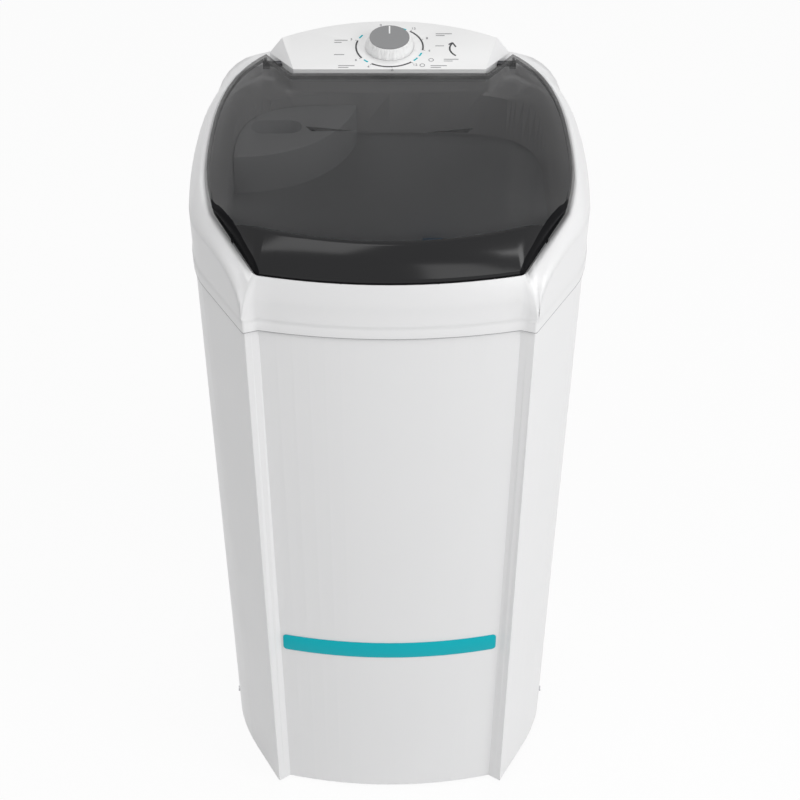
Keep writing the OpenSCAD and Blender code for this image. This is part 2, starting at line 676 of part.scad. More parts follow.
module bearing_housing() {
    neck_top = tub_floor - well_h + 3;
    color("slategray") drive_at() difference() {
        union() {
            translate([0, 0, housing_bottom])
                cylinder(r = housing_r, h = flange_top - housing_bottom);
            translate([0, 0, flange_top - flange_h]) cylinder(r = 44, h = flange_h);
            translate([0, 0, flange_top - 1]) cylinder(r = hub_r - fit, h = neck_top - flange_top + 1);
        }
        translate([0, 0, housing_bottom - 1]) cylinder(r = shaft_r + 2, h = 200);
        translate([0, 0, housing_bottom - 1]) cylinder(r = bush_r + snug, h = bush_l + 1);
        translate([0, 0, flange_top - bush_l]) cylinder(r = bush_r + snug, h = bush_l);
        translate([0, 0, neck_top - 7]) cylinder(r = seal_r + snug, h = 8);
        for (a = housing_angles) rotate([0, 0, a]) translate([housing_bolt_r, 0, 0])
            cylinder(r = screw_r + snug, h = far);
    }
}
module shaft_bushes() {
    color("goldenrod") drive_at() for (z = [housing_bottom, flange_top - bush_l])
        translate([0, 0, z]) tube(bush_r, shaft_r + run, bush_l);
}
module shaft_seal() {
    color("black") drive_at() translate([0, 0, tub_floor - well_h - 4])
        tube(seal_r, shaft_r + run, 7);
}
module housing_screws() {
    color("silver") drive_at() for (a = housing_angles) rotate([0, 0, a])
        translate([housing_bolt_r, 0, flange_top - flange_h]) rotate([180, 0, 0]) screw(13);
}
module drive_shaft() {
    color("silver") drive_at() translate([0, 0, belt_z - 18])
        cylinder(r = shaft_r, h = pulsator_top - 6 - belt_z + 18);
}
pulsator_low = tub_floor - well_h + 5;
pulsator_top = tub_floor + 20;
module pulsator() {
    rib_r = 11;
    rim = pulsator_low + 6;
    color("whitesmoke") drive_at() difference() {
        union() {
            rotate_extrude() polygon(concat([[0, pulsator_low], [pulsator_r, pulsator_low],
                [pulsator_r, rim - 2], [pulsator_r - 2, rim]],
                [for (i = [1:8]) let (t = i / 8)
                    [lerp(pulsator_r - 2, 24, t), rim + (pulsator_top - rim) * pow(t, 3)]],
                [[0, pulsator_top]]));
            for (a = [0:60:300]) rotate([0, 0, a]) translate([20, 0, rim]) rotate([0, 86, 0]) {
                cylinder(r = rib_r, h = pulsator_r - 40);
                translate([0, 0, pulsator_r - 40]) sphere(r = rib_r);
            }
        }
        translate([0, 0, pulsator_low - 40]) cylinder(r = pulsator_r + 5, h = 40);
        translate([0, 0, pulsator_low - 1]) cylinder(r = shaft_r + snug, h = 60);
        translate([0, 0, pulsator_top - 3]) cylinder(r = 16, h = 20);
    }
}
module pulsator_cap() {
    color([0.6, 0.62, 0.65]) drive_at() translate([0, 0, pulsator_top - 3]) difference() {
        union() {
            cylinder(r = 15.7, h = 4);
            intersection() {
                translate([0, 0, 4 - 14]) sphere(r = 21);
                translate([0, 0, 3.9]) cylinder(r = 15.7, h = 20);
            }
        }
        translate([0, 0, -4]) cylinder(r = shaft_r + snug, h = 4 + fit);
    }
}
// A grooved pulley, its bore along Z
module grooved(r, bore) {
    root = r - 9;
    hub = bore + 6;
    difference() {
        union() {
            rotate_extrude() polygon([[0, -4], [root - 4, -4], [root - 4, -pulley_h / 2],
                [r, -pulley_h / 2], [r, -5.5], [root, -3.5], [root, 3.5], [r, 5.5],
                [r, pulley_h / 2], [root - 4, pulley_h / 2], [root - 4, 4], [0, 4]]);
            translate([0, 0, -pulley_h / 2]) cylinder(r = hub, h = pulley_h + 6);
        }
        translate([0, 0, -pulley_h]) cylinder(r = bore + snug, h = 3 * pulley_h);
    }
}
module big_pulley() {
    color("dimgray") drive_at() translate([0, 0, belt_z]) difference() {
        grooved(big_r, shaft_r);
        for (a = [0:60:300]) rotate([0, 0, a]) translate([(big_r + shaft_r) / 2 - 2, 0, -pulley_h])
            cylinder(r = 13, h = 2 * pulley_h);
    }
}
module pulley_nut() {
    color("silver") drive_at() translate([0, 0, belt_z - pulley_h / 2 - 6]) difference() {
        cylinder(r = 10, h = 6, $fn = 6);
        translate([0, 0, -1]) cylinder(r = shaft_r + snug, h = 8);
    }
}
module motor_pulley() {
    color("dimgray") motor_at() translate([0, 0, belt_z]) grooved(small_r, rotor_shaft_r);
}
// Outline of a belt round two circles that stand a distance apart along Y
function belt_line(r1, r2, span) =
    let (b = acos((r1 - r2) / span), n = 28)
    concat([for (i = [0:n]) let (w = lerp(-b, b, i / n)) [r2 * sin(w), span + r2 * cos(w)]],
           [for (i = [0:2 * n]) let (w = lerp(b, 360 - b, i / (2 * n))) [r1 * sin(w), r1 * cos(w)]]);
module drive_belt() {
    color("black") drive_at() translate([0, 0, belt_z - 3]) linear_extrude(6) difference() {
        polygon(belt_line(big_r - 1, small_r - 1, belt_span));
        polygon(belt_line(big_r - 7.5, small_r - 7.5, belt_span));
    }
}

// Motor, hung under the tub with its shaft pointing down
motor_top = plate_top - plate_t;
shield_h = 24;
stator_top = motor_top - shield_h;
stator_mid = stator_top - stator_h / 2;
bearing_r = rotor_shaft_r + 10;
bearing_h = 9;
module motor_plate() {
    color("lightgray") motor_at() difference() {
        union() {
            translate([-66, -66, motor_top]) cube([132, 132, plate_t]);
            translate([60, -42, motor_top]) cube([58, 50, plate_t]);
        }
        for (x = [-1, 1], y = [-1, 1]) translate([x * plate_reach, y * plate_reach, motor_top - 1])
            cylinder(r = bolt_r + snug, h = plate_t + 2);
        for (a = [45:90:315]) rotate([0, 0, a]) translate([45, 0, motor_top - 1])
            cylinder(r = screw_r + snug, h = plate_t + 2);
        translate([0, 0, motor_top - 1]) cylinder(r = 12, h = plate_t + 2);
    }
}
module plate_bushes() {
    color("black") for (p = mount_places) translate([p[0], p[1], plate_top])
        tube(9, bolt_r + snug, bush_h);
}
module plate_bolts() {
    color("silver") for (p = mount_places) translate([p[0], p[1], motor_top]) rotate([180, 0, 0])
        screw(plate_t + bush_h + 9, bolt_r, 5.5, 4);
}
module motor_screws() {
    color("silver") motor_at() for (a = [45:90:315]) rotate([0, 0, a])
        translate([45, 0, plate_top]) screw(plate_t + 5);
}
module shield() {
    difference() {
        union() {
            difference() {
                cylinder(r = stator_r, h = shield_h);
                translate([0, 0, -1]) cylinder(r = stator_r - 5, h = shield_h - 5);
            }
            translate([0, 0, shield_h - 15]) cylinder(r = bearing_r + 4, h = 10);
        }
        translate([0, 0, shield_h - 16]) cylinder(r = bearing_r + snug, h = 12);
        translate([0, 0, -1]) cylinder(r = rotor_shaft_r + 1, h = shield_h + 2);
        for (a = [45:90:315]) rotate([0, 0, a]) translate([45, 0, shield_h - 7])
            cylinder(r = screw_r + snug, h = 8);
    }
}
module upper_shield() { color("silver") motor_at() translate([0, 0, stator_top]) shield(); }
module lower_shield() {
    color("silver") motor_at() translate([0, 0, stator_top - stator_h]) mirror([0, 0, 1]) shield();
}
module stator() {
    color("gray") motor_at() translate([0, 0, stator_top - stator_h])
        tube(stator_r, rotor_r + 0.8, stator_h);
}
module windings() {
    color("chocolate") motor_at() for (z = [stator_top, stator_top - stator_h - 14])
        translate([0, 0, z]) tube(stator_r - 7, rotor_r + 5, 14);
}
module motor_bearings() {
    color("silver") motor_at() {
        translate([0, 0, stator_top + shield_h - 4 - bearing_h])
            tube(bearing_r, rotor_shaft_r + run, bearing_h);
        translate([0, 0, stator_top - stator_h - shield_h + 4])
            tube(bearing_r, rotor_shaft_r + run, bearing_h);
    }
}
module rotor() {
    color("gray") motor_at() {
        translate([0, 0, stator_mid - stator_h / 2 - 2]) cylinder(r = rotor_r, h = stator_h + 4);
        translate([0, 0, belt_z - 10]) cylinder(r = rotor_shaft_r, h = motor_top - 5 - belt_z + 10);
    }
}
cap_at = [94, fy(motor_d) - 17];
cap_r = 17;
cap_h = 60;
module capacitor() {
    color("whitesmoke") translate([cap_at[0], cap_at[1], motor_top - cap_h]) cylinder(r = cap_r, h = cap_h);
}
module capacitor_clip() {
    color("silver") translate([cap_at[0], cap_at[1], motor_top - 18]) {
        tube(cap_r + fit + 1.5, cap_r + fit, 12);
        translate([-6, cap_r + fit, 0]) cube([12, 1.5, 18]);
    }
}

// Drain
drain_at = [-95, fy(mouth_mid - 85)];
hose_r = spigot_r + 2.5;
stub_bottom = low_z - 38;
module drain_grille() {
    color("lightgray") translate([drain_at[0], drain_at[1], low_z]) difference() {
        cylinder(r = drain_r - fit, h = tub_wall);
        for (q = [[0, 1], [6, 6], [12, 11]]) for (i = [0:q[1]]) rotate([0, 0, i * 360 / (q[1] + 1)])
            translate([q[0], 0, -1]) cylinder(r = 1.8, h = tub_wall + 2);
    }
}
module drain_stub() {
    color("dimgray") translate([drain_at[0], drain_at[1], 0]) difference() {
        union() {
            translate([0, 0, stub_bottom]) cylinder(r = hose_r, h = low_z - stub_bottom);
            translate([0, 0, low_z - 5]) cylinder(r = drain_r + 8, h = 5);
        }
        translate([0, 0, stub_bottom - 1]) cylinder(r = spigot_bore, h = 50);
    }
}
// A smooth line through points
function through(p, n) = concat([for (k = [0:len(p) - 2])
    let (a = p[max(k - 1, 0)], b = p[k], c = p[k + 1], d = p[min(k + 2, len(p) - 1)])
    each [for (i = [0:n - 1]) let (t = i / n)
        0.5 * (2 * b + (c - a) * t + (2 * a - 5 * b + 4 * c - d) * t * t
               + (3 * b - a - 3 * c + d) * t * t * t)]], [p[len(p) - 1]]);
// A round tube along points, its sides kept square to the points' own direction
module sweep(p, r, sides, side) {
    n = len(p);
    rings = [for (i = [0:n - 1])
        let (w = i == 0 ? p[1] - p[0] : i == n - 1 ? p[i] - p[i - 1] : p[i + 1] - p[i - 1],
             u = unit(cross(w, side)), v = unit(cross(u, w)))
        [for (k = [0:sides - 1]) p[i] + r * (cos(k * 360 / sides) * u - sin(k * 360 / sides) * v)]];
    loft(rings);
}
outlet_in = [outlet[0], back_at(outlet[0], outlet[1]) - 36, outlet[1]];
module drain_hose() {
    start = [drain_at[0], drain_at[1], stub_bottom];
    route = [start, start - [0, 0, 12], start - [0, 0, 24], start + [2, 12, -80], start + [10, 70, -150],
             start + [24, 180, -196], outlet_in + [-2, -60, 2], outlet_in - [0, 24, 0],
             outlet_in - [0, 12, 0], outlet_in];
    color("gray") sweep(through(route, 3), hose_r, 10, [1, 0, 0]);
}
module hose_clips() {
    color("silver") {
        translate([drain_at[0], drain_at[1], stub_bottom + 6]) tube(hose_r + fit + 1.5, hose_r + fit, 8);
        translate(outlet_in + [0, 6, 0]) rotate([-90, 0, 0]) tube(hose_r + fit + 1.5, hose_r + fit, 8);
    }
}
module outlet_spigot() {
    tail = body_d / 2 - 4 - outlet_in[1];
    wall_y = back_at(outlet[0], outlet[1]) - outlet_in[1];
    color("dimgray") translate(outlet_in) rotate([-90, 0, 0]) difference() {
        union() {
            cylinder(r = hose_r, h = 18);
            cylinder(r = spigot_r, h = tail);
            translate([0, 0, wall_y - cab_wall - 8]) cylinder(r = spigot_r + 7, h = 4);
            translate([0, 0, wall_y + 2]) cylinder(r = spigot_r + 4, h = 3);
        }
        translate([0, 0, -1]) cylinder(r = spigot_bore, h = far);
    }
}
module cable_gland() {
    color("dimgray") through_back(gland) difference() {
        union() {
            translate([0, 0, -gland_in]) cylinder(r = gland_r, h = gland_in + gland_out);
            translate([0, 0, 1.5]) cylinder(r = gland_r + 4, h = 4);
            translate([0, 0, -cab_wall - 7]) cylinder(r = gland_r + 4, h = 4);
        }
        translate([0, 0, -gland_in - 1]) cylinder(r = lead_hole_r, h = gland_in + gland_out + 2);
    }
}

// Console behind the lid
panel_front_z = body_h - (console_back - panel_d) * tan(panel_tilt);
knob_d = panel_d + dial_r + 4;
function panel_z(d) = panel_front_z + (d - panel_d) * tan(panel_tilt);
function panel_point(x, y, h) = [x, fy(knob_d) + y * cos(panel_tilt) - h * sin(panel_tilt),
    panel_z(knob_d) + y * sin(panel_tilt) + h * cos(panel_tilt)];
module on_panel(h) {
    translate([0, fy(knob_d), panel_z(knob_d)]) rotate([panel_tilt, 0, 0]) translate([0, 0, h]) children();
}
front_corner = [129, panel_d];
side_corner = [163.4, console_back - 48];
upper_corner = [146.5, console_back - 38];
function console_plan(outer = true) =
    let (sag = console_back - upper_corner[1], r = (pow(upper_corner[0], 2) + sag * sag) / (2 * sag),
         arc = [for (i = [0:12]) let (x = upper_corner[0] * i / 12)
             [x, console_back - r + sqrt(r * r - x * x)]])
    both_sides(outer ? concat(arc, [side_corner, front_corner, [0, panel_d]])
                     : concat(arc, [front_corner, [0, panel_d]]));
// The space above the panel's plane, dz over it, and above the two side facets
module over_panel(dz) {
    translate([0, fy(panel_d), panel_front_z + dz]) rotate([panel_tilt, 0, 0])
        translate([-far / 2, -far / 2, 0]) cube(far);
}
side_drop = 16;
module over_facet(s, dz) {
    a = [front_corner[0], fy(front_corner[1]), panel_front_z];
    b = [upper_corner[0], fy(upper_corner[1]), panel_z(upper_corner[1])];
    c = [side_corner[0], fy(side_corner[1]), panel_z(side_corner[1]) - side_drop];
    x = unit(b - a);
    z = unit(cross(c - a, x));
    y = cross(z, x);
    mirror([s < 0 ? 1 : 0, 0, 0]) multmatrix([[x[0], y[0], z[0], a[0]], [x[1], y[1], z[1], a[1]],
        [x[2], y[2], z[2], a[2] + dz], [0, 0, 0, 1]]) translate([-far / 2, -far / 2, 0]) cube(far);
}
console_bolts = [for (x = [-100, 100], d = [console_back - 57, panel_d + 16.5]) [x, d]];
hinge_z = body_h - 23;
pin_in = 138;
pin_out = 171;
module console_solid(t) {
    difference() {
        translate([0, 0, shelf_z]) linear_extrude(60) polygon(inset(console_plan(), t));
        over_panel(-t);
        for (s = [-1, 1]) over_facet(s, -t);
    }
}
module console_housing() {
    w = console_wall;
    color("white") difference() {
        union() {
            difference() {
                console_solid(0);
                intersection() {
                    translate([0, 0, shelf_z - 1]) linear_extrude(60)
                        polygon(inset(console_plan(), w));
                    union() {
                        difference() {
                            translate([-far / 2, -far / 2, shelf_z - 1]) cube([far, far, 60]);
                            over_panel(-w - panel_t);
                            for (s = [-1, 1]) over_facet(s, -w);
                        }
                    }
                }
            }
            intersection() {
                console_solid(panel_t);
                union() {
                    for (p = console_bolts) translate([p[0], fy(p[1]), shelf_z]) cylinder(r = 5, h = 40);
                    for (s = [-1, 1]) translate([s * pin_in, fy(hinge_d), hinge_z])
                        rotate([0, s * 90, 0]) translate([0, 0, -4]) cylinder(r = pin_r + 4, h = 24);
                }
            }
        }
        intersection() {
            over_panel(-panel_t);
            translate([0, 0, shelf_z]) linear_extrude(60) polygon(console_plan(outer = false));
        }
        on_panel(0) translate([0, 0, -60]) cylinder(r = timer_r + 3, h = 100);
        for (s = [-1, 1]) translate([s * (pin_in - fit), fy(hinge_d), hinge_z]) rotate([0, s * 90, 0])
            cylinder(r = pin_r + run, h = 60);
        for (p = console_bolts) translate([p[0], fy(p[1]), shelf_z - 1])
            cylinder(r = screw_r + snug, h = 12);
    }
}
module control_panel() {
    color("white") difference() {
        intersection() {
            translate([0, 0, shelf_z]) linear_extrude(60) polygon(console_plan(outer = false));
            over_panel(-panel_t);
        }
        over_panel(0);
        on_panel(-10) cylinder(r = timer_shaft_r + 2, h = 20);
        for (a = [0, 180]) on_panel(0) rotate([0, 0, a]) translate([18, 0, -panel_t]) {
            cylinder(r = screw_r + snug, h = 20, center = true);
            cylinder(r = screw_head_r + fit, h = 20);
        }
    }
}
module console_screws() {
    color("silver") for (p = console_bolts) translate([p[0], fy(p[1]), shelf_z - deck_wall - 1.5])
        rotate([180, 0, 0]) screw(deck_wall + 10);
}
// Printed arcs round the knob: [start, end] in degrees clockwise from the top
dark_arcs = [[38, 100], [140, 212], [236, 288]];
teal_arcs = [[8, 30], [108, 118], [124, 134], [220, 229], [296, 306]];
module dial_arcs(arcs) {
    for (q = arcs) on_panel(0) rotate([0, 0, 90 - q[1]]) rotate_extrude(angle = q[1] - q[0])
        translate([dial_r - dial_w, 0]) square([dial_w, 0.3]);
}
module dial_dark() { color([0.16, 0.16, 0.18]) dial_arcs(dark_arcs); }
module dial_teal() { color([0.05, 0.62, 0.66]) dial_arcs(teal_arcs); }
timer_h = 36;
module timer_body() {
    color("whitesmoke") on_panel(0) difference() {
        union() {
            translate([0, 0, -panel_t - 4]) cylinder(r = timer_r + 2, h = 4);
            translate([0, 0, -panel_t - timer_h]) cylinder(r = timer_r, h = timer_h - 2);
        }
        translate([0, 0, -panel_t - timer_h + 6]) cylinder(r = timer_shaft_r + run, h = 60);
        for (a = [0, 180]) rotate([0, 0, a]) translate([18, 0, -panel_t - 12])
            cylinder(r = screw_r + snug, h = 14);
    }
}
module timer_screws() {
    color("silver") for (a = [0, 180]) on_panel(0) rotate([0, 0, a]) translate([18, 0, -panel_t])
        screw(10, screw_r, screw_head_r, panel_t);
}
module timer_shaft() {
    low = panel_t + timer_h - 7;
    color("silver") on_panel(-low) cylinder(r = timer_shaft_r, h = low + knob_h - 4);
}
knob_gap = 0.6;
module knob() {
    ribs = 36;
    slope = atan2(knob_r - knob_cap_r - 1.5, knob_h - 3);
    color("white") on_panel(0) difference() {
        union() {
            rotate_extrude() polygon([[0, knob_gap], [knob_r - 1, knob_gap], [knob_r - 0.4, 2.5],
                [knob_cap_r + 1, knob_h - 1.5], [knob_cap_r, knob_h - 1], [0, knob_h - 1]]);
            for (i = [0:ribs - 1]) rotate([0, 0, i * 360 / ribs]) translate([knob_r - 1, 0, 1.5])
                rotate([0, -slope, 0]) cylinder(r = 0.8, h = knob_h - 5, $fn = 16);
        }
        translate([0, 0, -1]) cylinder(r = timer_shaft_r + snug, h = knob_h - 4 + 1 + fit);
        translate([0, 0, -1]) difference() {
            cylinder(r = knob_r - 6, h = knob_h - 4);
            cylinder(r = timer_shaft_r + 3, h = knob_h);
        }
    }
}
module knob_cap() { color("gray") on_panel(knob_h - 1) cylinder(r = knob_cap_r, h = 1); }
module knob_pointer() {
    color("white") on_panel(knob_h) translate([-1, 8, 0]) cube([2, knob_cap_r - 10, 0.4]);
}

// Leads held inside the cabinet
lead_top = panel_t + timer_h + fit;
lead_d = body_d - 40;
module mains_lead() {
    low = [gland[0], back_at(gland[0], gland[1]) - gland_in - 2 * fit, gland[1]];
    route = [low, low + [0, -7, 0], low + [0, -14, 0], low + [2, -30, 60],
             [64, fy(lead_d - 4), 300], [66, fy(lead_d), 500], [60, fy(lead_d), 700],
             [40, fy(lead_d - 4), 840], panel_point(12, 6, -lead_top - 16),
             panel_point(12, 6, -lead_top - 8), panel_point(12, 6, -lead_top)];
    color("black") sweep(through(route, 5), 3.5, 8, [1, 0, 0]);
}
module motor_lead() {
    low = [-6, fy(motor_d) + stator_r + fit, stator_top - 6];
    route = [panel_point(-12, 6, -lead_top), panel_point(-12, 6, -lead_top - 8),
             panel_point(-12, 6, -lead_top - 16), [-40, fy(lead_d - 4), 820],
             [-60, fy(lead_d - 2), 640], [-60, fy(lead_d - 6), 460], [-40, fy(lead_d - 46), 340],
             low + [0, 16, 0], low + [0, 8, 0], low];
    color("black") sweep(through(route, 5), 3, 8, [1, 0, 0]);
}

// Lid: a window with a bevel, a flat border, cut front corners and a sloped visor
lid_mid = [88, fy(mouth_mid)];
// An outline drawn in towards the line across the window that ends at lid_mid on both sides
function drawn_in(p, k) = [for (q = p) let (x = max(-lid_mid[0], min(lid_mid[0], q[0])))
    [lerp(x, q[0], k), lerp(lid_mid[1], q[1], k), q[2]]];
border_w = by_index(function (i) lerp(lid_border, 6, fade(i, tip_i + 1, tip_i + 5)));
border = raise(inset(lid_edge, border_w), 1);
visor_half = let (w = half_w, cut = [w - 41.5, 128, body_h - 33],
                  mid = [w - 94.5, 70, body_h - 27.5], end = [w - 107.5, 62.5, body_h - 26.7])
    concat([for (i = [0:arm_i]) cut], bez(cut, [w - 61.5, 93, body_h - 29.5], mid, n_arm),
           line(mid, end, n_ridge + n_strip),
           bez(end, [87, 31, body_h - 23.5], [0, 28.5, body_h - 23], n_front));
visor_part = by_index(function (i) i <= bend_i ? 0 : i >= arm_i ? 1 : (i - bend_i) / n_bend);
window_edge = mix(border, both_sides(visor_half), visor_part);
pane = raise(inset(window_edge, 5), lid_bevel);
// A ring of the window, at heights that even out those of its edge, under a slight crown
crown = 5;
function pane_ring(k, dz) = [for (q = drawn_in(pane, k))
    let (w = [for (e = pane) pow(norm([e[0] - q[0], e[1] - q[1]]), -3)])
    [q[0], q[1], w * z_of(pane) / (w * [for (e = pane) 1]) + crown * (1 - k * k) + dz]];
// A ring of the visor, t of the way up from the lid's edge to the window's, swelled a little
function visor(t) = let (p = mix(lid_edge, window_edge, t), out = inset(p, -2))
    [for (i = [0:len(p) - 1]) lerp(p[i], out[i] + [0, 0, 1], visor_part[i])];
module lid() {
    t = lid_t;
    rim_low = [for (q = lid_edge) q[2] - lid_rim];
    steps = [0.25, 0.5, 0.75, 0.9];
    color([0.3, 0.3, 0.32, 0.75]) difference() {
        union() {
            loft(concat([for (k = steps) pane_ring(k, -t)], [raise(pane, -t),
                  raise(inset(window_edge, 1), -t),
                  raise(inset(visor(0.66), 1.5), -t), raise(inset(visor(0.33), 1.5), -t),
                  raise(inset(lid_edge, t + 1), -t), heights(inset(lid_edge, t + 1), rim_low),
                  heights(inset(lid_edge, 0.8), rim_low), raise(lid_edge, -1.6),
                  inset(lid_edge, 0.8), visor(0.33), visor(0.66), window_edge, pane],
                  [for (i = [1:len(steps)]) pane_ring(steps[len(steps) - i], 0)]));
            for (s = [-1, 1]) translate([s * (pin_out - 9), fy(hinge_d), hinge_z]) {
                rotate([0, s * 90, 0]) cylinder(r = pin_r + 3.5, h = 9);
                translate([s > 0 ? 0 : -9, -pin_r - 3.5, 0]) cube([9, 2 * pin_r + 7, 7]);
            }
        }
        for (s = [-1, 1]) translate([s * pin_in, fy(hinge_d), hinge_z]) rotate([0, s * 90, 0])
            cylinder(r = pin_r + snug, h = pin_out - pin_in + 2);
    }
}
module hinge_pins() {
    color("silver") for (s = [-1, 1]) translate([s * pin_in, fy(hinge_d), hinge_z])
        rotate([0, s * 90, 0]) cylinder(r = pin_r, h = pin_out - pin_in);
}
module lid_bumpers() {
    color("black") for (i = [arm_i + 3, joint_i + 5]) for (k = [i, len(lid_edge) - i])
        let (p = inset(lid_edge, 2.2)[k], foot = recess_z[k] + 2 * fit, top = p[2] - lid_rim - fit)
        translate([p[0], p[1], foot]) cylinder(r = 1.3, h = top - foot);
}

cabinet();
front_band();
base_frame();
feet();
base_screws();
back_cover();
back_cover_screws();
top_deck();
deck_screws();
tub();
tub_seal();
tub_screws();
detergent_tray();
filter_frame();
drain_grille();
drain_stub();
drain_hose();
hose_clips();
outlet_spigot();
cable_gland();
bearing_housing();
shaft_bushes();
shaft_seal();
housing_screws();
motor_plate();
plate_bushes();
plate_bolts();
motor_screws();
stator();
windings();
upper_shield();
lower_shield();
motor_bearings();
capacitor();
capacitor_clip();
drive_belt();
console_housing();
control_panel();
console_screws();
dial_dark();
dial_teal();
timer_body();
timer_screws();
mains_lead();
motor_lead();
lid();
hinge_pins();
lid_bumpers();
knob();
knob_cap();
knob_pointer();
timer_shaft();
pulsator();
pulsator_cap();
drive_shaft();
big_pulley();
pulley_nut();
rotor();
motor_pulley();
lint_filter();
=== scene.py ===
"""Looks of a top-loading washing machine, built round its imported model.

Everything is in metres, in the model's frame: z 0 is the floor and the front faces -y.
"""

import json
import math

import bmesh
import bpy
from mathutils import Matrix, Vector
from mathutils.bvhtree import BVHTree

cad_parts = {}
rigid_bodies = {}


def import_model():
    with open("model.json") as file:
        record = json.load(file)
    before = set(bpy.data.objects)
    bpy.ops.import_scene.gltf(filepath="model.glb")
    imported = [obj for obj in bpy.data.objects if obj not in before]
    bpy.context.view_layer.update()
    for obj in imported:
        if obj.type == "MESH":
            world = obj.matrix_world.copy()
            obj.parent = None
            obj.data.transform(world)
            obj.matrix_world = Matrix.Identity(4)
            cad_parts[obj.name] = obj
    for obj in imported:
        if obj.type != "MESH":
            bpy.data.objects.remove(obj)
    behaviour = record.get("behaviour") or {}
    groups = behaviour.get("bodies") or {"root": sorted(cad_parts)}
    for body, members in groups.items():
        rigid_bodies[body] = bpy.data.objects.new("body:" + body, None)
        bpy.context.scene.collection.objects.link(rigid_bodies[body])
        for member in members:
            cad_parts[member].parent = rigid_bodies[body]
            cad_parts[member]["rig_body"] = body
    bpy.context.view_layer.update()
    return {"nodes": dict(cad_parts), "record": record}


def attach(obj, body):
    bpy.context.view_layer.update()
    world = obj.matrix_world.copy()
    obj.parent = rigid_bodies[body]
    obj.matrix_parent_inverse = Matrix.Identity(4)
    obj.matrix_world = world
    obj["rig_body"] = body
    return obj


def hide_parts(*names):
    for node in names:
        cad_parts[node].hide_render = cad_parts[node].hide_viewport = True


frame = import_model()
nodes = frame["nodes"]
slots = {s["node"]: s["material_slot"] for s in frame["record"]["subparts"]}
scene = bpy.context.scene


# Camera, at the photograph's height and angle


def add_camera():
    """The camera that was fitted to the photograph."""
    data = bpy.data.cameras.new("camera")
    data.sensor_width = 36
    data.lens = 102.37
    data.shift_x = 0.0131
    data.shift_y = 0.0291
    data.clip_start = 0.1
    data.clip_end = 50
    camera = bpy.data.objects.new("camera", data)
    scene.collection.objects.link(camera)
    camera.location = (0, -2.5287, 2.4393)
    camera.rotation_euler = (math.radians(52), 0, 0)
    scene.camera = camera


# Materials


def new_material(name):
    """A new material, its node tree and its shader."""
    m = bpy.data.materials.new(name)
    m.use_nodes = True
    return m, m.node_tree, m.node_tree.nodes["Principled BSDF"]


def object_noise(tree, scale, detail=2.0, rough=0.5, stretch=(1, 1, 1)):
    """Noise on Object coordinates; gives its factor socket."""
    where = tree.nodes.new("ShaderNodeTexCoord")
    turn = tree.nodes.new("ShaderNodeMapping")
    turn.inputs["Scale"].default_value = stretch
    noise = tree.nodes.new("ShaderNodeTexNoise")
    noise.inputs["Scale"].default_value = scale
    noise.inputs["Detail"].default_value = detail
    noise.inputs["Roughness"].default_value = rough
    tree.links.new(where.outputs["Object"], turn.inputs["Vector"])
    tree.links.new(turn.outputs["Vector"], noise.inputs["Vector"])
    return noise.outputs["Fac"]


def between(tree, value, low, high, span=(0.2, 0.8)):
    """A number that runs from low to high while the value runs over the span."""
    node = tree.nodes.new("ShaderNodeMapRange")
    node.inputs["From Min"].default_value = span[0]
    node.inputs["From Max"].default_value = span[1]
    node.inputs["To Min"].default_value = low
    node.inputs["To Max"].default_value = high
    tree.links.new(value, node.inputs["Value"])
    return node.outputs["Result"]


def colour_between(tree, factor, a, b):
    """A colour that runs from a to b with the factor."""
    ramp = tree.nodes.new("ShaderNodeValToRGB")
    ramp.color_ramp.elements[0].position = 0.22
    ramp.color_ramp.elements[1].position = 0.78
    ramp.color_ramp.elements[0].color = (*a, 1)
    ramp.color_ramp.elements[1].color = (*b, 1)
    tree.links.new(factor, ramp.inputs["Fac"])
    return ramp.outputs["Color"]


def maths(tree, kind, *values):
    """A sum worked out on sockets and numbers; gives its result's socket."""
    node = tree.nodes.new("ShaderNodeMath")
    node.operation = kind
    for socket, value in zip(node.inputs, values):
        if isinstance(value, float):
            socket.default_value = value
        else:
            tree.links.new(value, socket)
    return node.outputs[0]


def bump(tree, shader, factor, depth):
    """Fine relief of that depth in metres."""
    node = tree.nodes.new("ShaderNodeBump")
    node.inputs["Distance"].default_value = depth
    node.inputs["Strength"].default_value = 1.0
    tree.links.new(factor, node.inputs["Height"])
    tree.links.new(node.outputs["Normal"], shader.inputs["Normal"])


def shade(colour, k):
    """A colour made darker or lighter by that factor."""
    return tuple(min(1.0, c * k) for c in colour)


def moulded(name, colour, rough, grain=420, depth=0.00003, metal=0.0, vary=0.03, spec=0.5):
    """Moulded plastic or rubber: faint mottling, a fine grain and an uneven gloss."""
    m, tree, s = new_material(name)
    broad = object_noise(tree, 6, 1)
    fine = object_noise(tree, grain, 1)
    tree.links.new(colour_between(tree, broad, shade(colour, 1 - vary), shade(colour, 1 + vary)),
                   s.inputs["Base Color"])
    tree.links.new(between(tree, object_noise(tree, 13, 1), rough * 0.9, rough * 1.1),
                   s.inputs["Roughness"])
    s.inputs["Metallic"].default_value = metal
    s.inputs["Specular IOR Level"].default_value = spec
    bump(tree, s, fine, depth)
    return m


def brushed(name, colour, rough, stretch=(1, 1, 30), grain=60):
    """Metal with fine lines left by its making."""
    m, tree, s = new_material(name)
    lines = object_noise(tree, grain, 6, 0.7, stretch)
    tree.links.new(colour_between(tree, lines, shade(colour, 0.86), shade(colour, 1.08)),
                   s.inputs["Base Color"])
    tree.links.new(between(tree, lines, rough * 0.75, rough * 1.3), s.inputs["Roughness"])
    s.inputs["Metallic"].default_value = 1.0
    bump(tree, s, lines, 0.00004)
    return m


